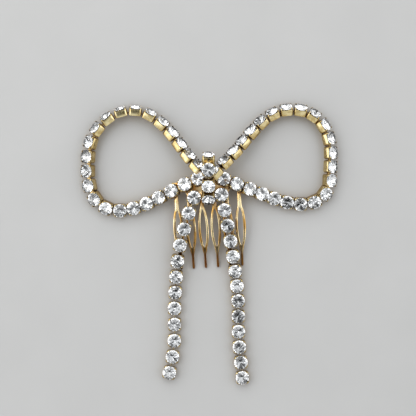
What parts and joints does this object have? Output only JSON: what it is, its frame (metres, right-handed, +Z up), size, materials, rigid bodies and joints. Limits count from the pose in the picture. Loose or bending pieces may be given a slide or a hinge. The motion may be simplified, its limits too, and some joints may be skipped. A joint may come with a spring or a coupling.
{
  "type": "rhinestone hair clip",
  "caption": "Bow-shaped hair comb of gold cup chain set with round clear stones, with two soldered loops, a wrapped knot, two loose tails and a small metal comb.",
  "frame": {"origin": "on the surface it lies on, under the middle of its bounding box", "axes": "+Z up, out of the stones; +Y from the tails towards the top of the bow; +X towards the right loop"},
  "size_m": [0.1128, 0.1236, 0.0167],
  "materials": {
    "cup_gold": "bright gold plating",
    "comb_gold": "polished pale gold plating",
    "crystal": "clear foiled glass, faceted"
  },
  "bodies": {
    "clip": {"comb": "comb_gold", "left_loop_chain": "cup_gold", "right_loop_chain": "cup_gold", "knot_chain": "cup_gold", "knot_stone_1": "crystal", "knot_stone_2": "crystal", "knot_stone_3": "crystal", "knot_stone_4": "crystal", "left_tail_cup_01": "cup_gold", "left_tail_stone_01": "crystal", "right_tail_cup_01": "cup_gold", "right_tail_stone_01": "crystal"},
    "left_link": {"left_tail_link": "cup_gold"},
    "left_cup_02": {"left_tail_cup_02": "cup_gold", "left_tail_stone_02": "crystal"},
    "left_cup_03": {"left_tail_cup_03": "cup_gold", "left_tail_stone_03": "crystal"},
    "left_cup_04": {"left_tail_cup_04": "cup_gold", "left_tail_stone_04": "crystal"},
    "left_cup_05": {"left_tail_cup_05": "cup_gold", "left_tail_stone_05": "crystal"},
    "left_cup_06": {"left_tail_cup_06": "cup_gold", "left_tail_stone_06": "crystal"},
    "left_cup_07": {"left_tail_cup_07": "cup_gold", "left_tail_stone_07": "crystal"},
    "left_cup_08": {"left_tail_cup_08": "cup_gold", "left_tail_stone_08": "crystal"},
    "left_cup_09": {"left_tail_cup_09": "cup_gold", "left_tail_stone_09": "crystal"},
    "left_cup_10": {"left_tail_cup_10": "cup_gold", "left_tail_stone_10": "crystal"},
    "left_cup_11": {"left_tail_cup_11": "cup_gold", "left_tail_stone_11": "crystal"},
    "left_cup_12": {"left_tail_cup_12": "cup_gold", "left_tail_stone_12": "crystal"},
    "right_link": {"right_tail_link": "cup_gold"},
    "right_cup_02": {"right_tail_cup_02": "cup_gold", "right_tail_stone_02": "crystal"},
    "right_cup_03": {"right_tail_cup_03": "cup_gold", "right_tail_stone_03": "crystal"},
    "right_cup_04": {"right_tail_cup_04": "cup_gold", "right_tail_stone_04": "crystal"},
    "right_cup_05": {"right_tail_cup_05": "cup_gold", "right_tail_stone_05": "crystal"},
    "right_cup_06": {"right_tail_cup_06": "cup_gold", "right_tail_stone_06": "crystal"},
    "right_cup_07": {"right_tail_cup_07": "cup_gold", "right_tail_stone_07": "crystal"},
    "right_cup_08": {"right_tail_cup_08": "cup_gold", "right_tail_stone_08": "crystal"},
    "right_cup_09": {"right_tail_cup_09": "cup_gold", "right_tail_stone_09": "crystal"},
    "right_cup_10": {"right_tail_cup_10": "cup_gold", "right_tail_stone_10": "crystal"},
    "right_cup_11": {"right_tail_cup_11": "cup_gold", "right_tail_stone_11": "crystal"},
    "right_cup_12": {"right_tail_cup_12": "cup_gold", "right_tail_stone_12": "crystal"},
    "right_cup_13": {"right_tail_cup_13": "cup_gold", "right_tail_stone_13": "crystal"}
  },
  "joints": [
    {"name": "left_tail_swing", "type": "hinge", "parent": "clip", "child": "left_link", "pos_m": [-0.00739, 0.01802, 0.0059], "axis": [0, 0, 1], "range_deg": [-8, 8]},
    {"name": "left_tail_fold_02", "type": "hinge", "parent": "left_link", "child": "left_cup_02", "pos_m": [-0.00836, 0.01492, 0.00589], "axis": [0.9539, -0.3001, 0], "range_deg": [-17, 0]},
    {"name": "left_tail_fold_03", "type": "hinge", "parent": "left_cup_02", "child": "left_cup_03", "pos_m": [-0.00953, 0.0112, 0.00588], "axis": [0.9623, -0.2719, 0], "range_deg": [-17, 0]},
    {"name": "left_tail_fold_04", "type": "hinge", "parent": "left_cup_03", "child": "left_cup_04", "pos_m": [-0.01147, 0.00433, 0.0056], "axis": [0.9721, -0.2345, 0], "range_deg": [-17, 0]},
    {"name": "left_tail_fold_05", "type": "hinge", "parent": "left_cup_04", "child": "left_cup_05", "pos_m": [-0.01314, -0.00257, 0.00473], "axis": [0.9899, -0.1416, 0], "range_deg": [-17, 0]},
    {"name": "left_tail_fold_06", "type": "hinge", "parent": "left_cup_05", "child": "left_cup_06", "pos_m": [-0.01413, -0.0095, 0.00328], "axis": [0.9973, -0.073, 0], "range_deg": [-17, 0]},
    {"name": "left_tail_fold_07", "type": "hinge", "parent": "left_cup_06", "child": "left_cup_07", "pos_m": [-0.01464, -0.0165, 0.00191], "axis": [0.9982, -0.0607, 0], "range_deg": [-17, 40]},
    {"name": "left_tail_fold_08", "type": "hinge", "parent": "left_cup_07", "child": "left_cup_08", "pos_m": [-0.01507, -0.02361, 0.00122], "axis": [0.9995, -0.0319, 0], "range_deg": [-17, 40]},
    {"name": "left_tail_fold_09", "type": "hinge", "parent": "left_cup_08", "child": "left_cup_09", "pos_m": [-0.0153, -0.03075, 0.00108], "axis": [0.9998, 0.0189, 0], "range_deg": [-17, 40]},
    {"name": "left_tail_fold_10", "type": "hinge", "parent": "left_cup_09", "child": "left_cup_10", "pos_m": [-0.01517, -0.0379, 0.00109], "axis": [0.9992, -0.0406, 0], "range_deg": [-17, 40]},
    {"name": "left_tail_fold_11", "type": "hinge", "parent": "left_cup_10", "child": "left_cup_11", "pos_m": [-0.01546, -0.04504, 0.0011], "axis": [0.9917, -0.1287, 0], "range_deg": [-17, 40]},
    {"name": "left_tail_fold_12", "type": "hinge", "parent": "left_cup_11", "child": "left_cup_12", "pos_m": [-0.01638, -0.05213, 0.0011], "axis": [0.9765, -0.2155, 0], "range_deg": [-17, 40]},
    {"name": "right_tail_swing", "type": "hinge", "parent": "clip", "child": "right_link", "pos_m": [0.00569, 0.01917, 0.00593], "axis": [0, 0, 1], "range_deg": [-8, 8]},
    {"name": "right_tail_fold_02", "type": "hinge", "parent": "right_link", "child": "right_cup_02", "pos_m": [0.0063, 0.01633, 0.00593], "axis": [0.9779, 0.209, 0], "range_deg": [-17, 0]},
    {"name": "right_tail_fold_03", "type": "hinge", "parent": "right_cup_02", "child": "right_cup_03", "pos_m": [0.00711, 0.01252, 0.00594], "axis": [0.98, 0.1989, 0], "range_deg": [-17, 0]},
    {"name": "right_tail_fold_04", "type": "hinge", "parent": "right_cup_03", "child": "right_cup_04", "pos_m": [0.00847, 0.00586, 0.00567], "axis": [0.9855, 0.1698, 0], "range_deg": [-17, 0]},
    {"name": "right_tail_fold_05", "type": "hinge", "parent": "right_cup_04", "child": "right_cup_05", "pos_m": [0.00961, -0.0008, 0.00487], "axis": [0.986, 0.1668, 0], "range_deg": [-17, 0]},
    {"name": "right_tail_fold_06", "type": "hinge", "parent": "right_cup_05", "child": "right_cup_06", "pos_m": [0.01072, -0.00736, 0.00347], "axis": [0.9892, 0.1465, 0], "range_deg": [-17, 0]},
    {"name": "right_tail_fold_07", "type": "hinge", "parent": "right_cup_06", "child": "right_cup_07", "pos_m": [0.0117, -0.01395, 0.0021], "axis": [0.9942, 0.1078, 0], "range_deg": [-17, 40]},
    {"name": "right_tail_fold_08", "type": "hinge", "parent": "right_cup_07", "child": "right_cup_08", "pos_m": [0.01243, -0.02066, 0.00132], "axis": [0.9979, 0.0643, 0], "range_deg": [-17, 40]},
    {"name": "right_tail_fold_09", "type": "hinge", "parent": "right_cup_08", "child": "right_cup_09", "pos_m": [0.01286, -0.02744, 0.00112], "axis": [1, 0.0046, 0], "range_deg": [-17, 40]},
    {"name": "right_tail_fold_10", "type": "hinge", "parent": "right_cup_09", "child": "right_cup_10", "pos_m": [0.0129, -0.03424, 0.00107], "axis": [1, -0.0031, 0], "range_deg": [-17, 40]},
    {"name": "right_tail_fold_11", "type": "hinge", "parent": "right_cup_10", "child": "right_cup_11", "pos_m": [0.01287, -0.04104, 0.0011], "axis": [0.9957, 0.0927, 0], "range_deg": [-17, 40]},
    {"name": "right_tail_fold_12", "type": "hinge", "parent": "right_cup_11", "child": "right_cup_12", "pos_m": [0.0135, -0.04781, 0.0011], "axis": [0.9944, 0.1056, 0], "range_deg": [-17, 40]},
    {"name": "right_tail_fold_13", "type": "hinge", "parent": "right_cup_12", "child": "right_cup_13", "pos_m": [0.01422, -0.05458, 0.0011], "axis": [0.9962, 0.0872, 0], "range_deg": [-17, 40]}
  ]
}
